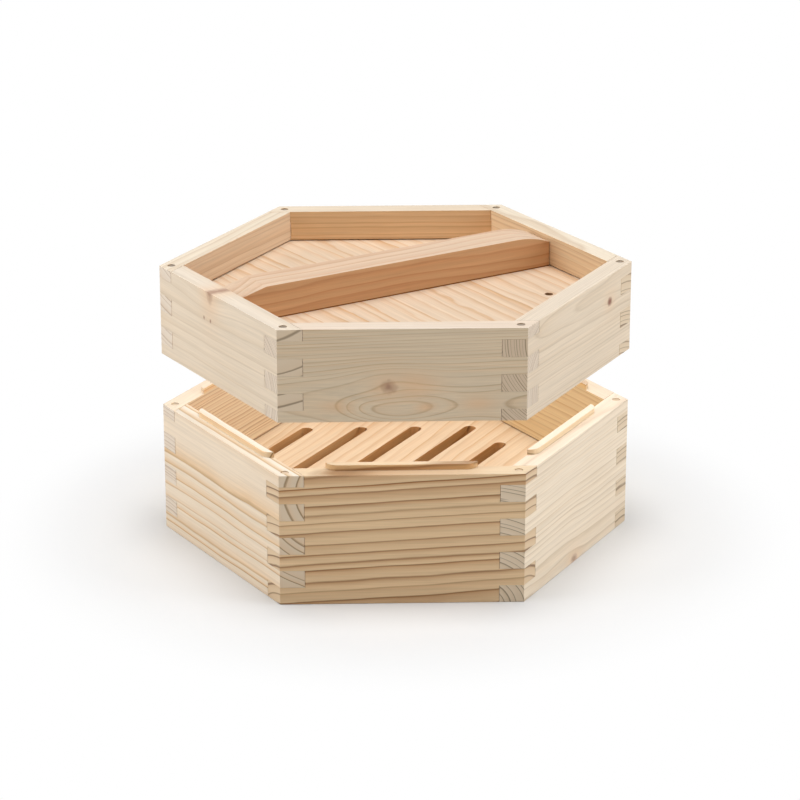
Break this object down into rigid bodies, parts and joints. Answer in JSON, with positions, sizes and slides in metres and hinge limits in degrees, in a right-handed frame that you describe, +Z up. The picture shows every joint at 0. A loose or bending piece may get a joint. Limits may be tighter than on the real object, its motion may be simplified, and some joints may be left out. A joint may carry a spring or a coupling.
{
  "type": "beehive",
  "caption": "Hexagonal timber beehive with a slotted board inside a finger-jointed box and a lift-off tray lid with a grip bar.",
  "frame": {"origin": "middle of the hive's underside", "axes": "+Z up, +X from corner to corner along the slots, -Y towards the front wall"},
  "size_m": [0.408, 0.3534, 0.244],
  "materials": {
    "box_pine": "planed, unfinished",
    "lid_pine": "planed, unfinished",
    "board_pine": "planed, unfinished",
    "panel_pine": "planed, unfinished",
    "bar_pine": "planed, unfinished",
    "dowel_wood": "cut end grain",
    "screw_steel": "zinc plated"
  },
  "bodies": {
    "box": {"box_wall_front": "box_pine", "box_wall_front_right": "box_pine", "box_wall_back_right": "box_pine", "box_wall_back": "box_pine", "box_wall_back_left": "box_pine", "box_wall_front_left": "box_pine", "box_dowel_1": "dowel_wood", "box_dowel_2": "dowel_wood", "box_dowel_3": "dowel_wood", "box_dowel_4": "dowel_wood", "box_dowel_5": "dowel_wood", "box_dowel_6": "dowel_wood", "slotted_board": "board_pine"},
    "lid": {"lid_wall_front": "lid_pine", "lid_wall_front_right": "lid_pine", "lid_wall_back_right": "lid_pine", "lid_wall_back": "lid_pine", "lid_wall_back_left": "lid_pine", "lid_wall_front_left": "lid_pine", "lid_dowel_1": "dowel_wood", "lid_dowel_2": "dowel_wood", "lid_dowel_3": "dowel_wood", "lid_dowel_4": "dowel_wood", "lid_dowel_5": "dowel_wood", "lid_dowel_6": "dowel_wood", "lid_panel": "panel_pine", "grip_bar": "bar_pine", "bar_screws": "screw_steel"}
  },
  "joints": [
    {"name": "lid_lift", "type": "slide", "parent": "box", "child": "lid", "axis": [0, 0, 1], "range_m": [-0.0469, 0.08]}
  ]
}
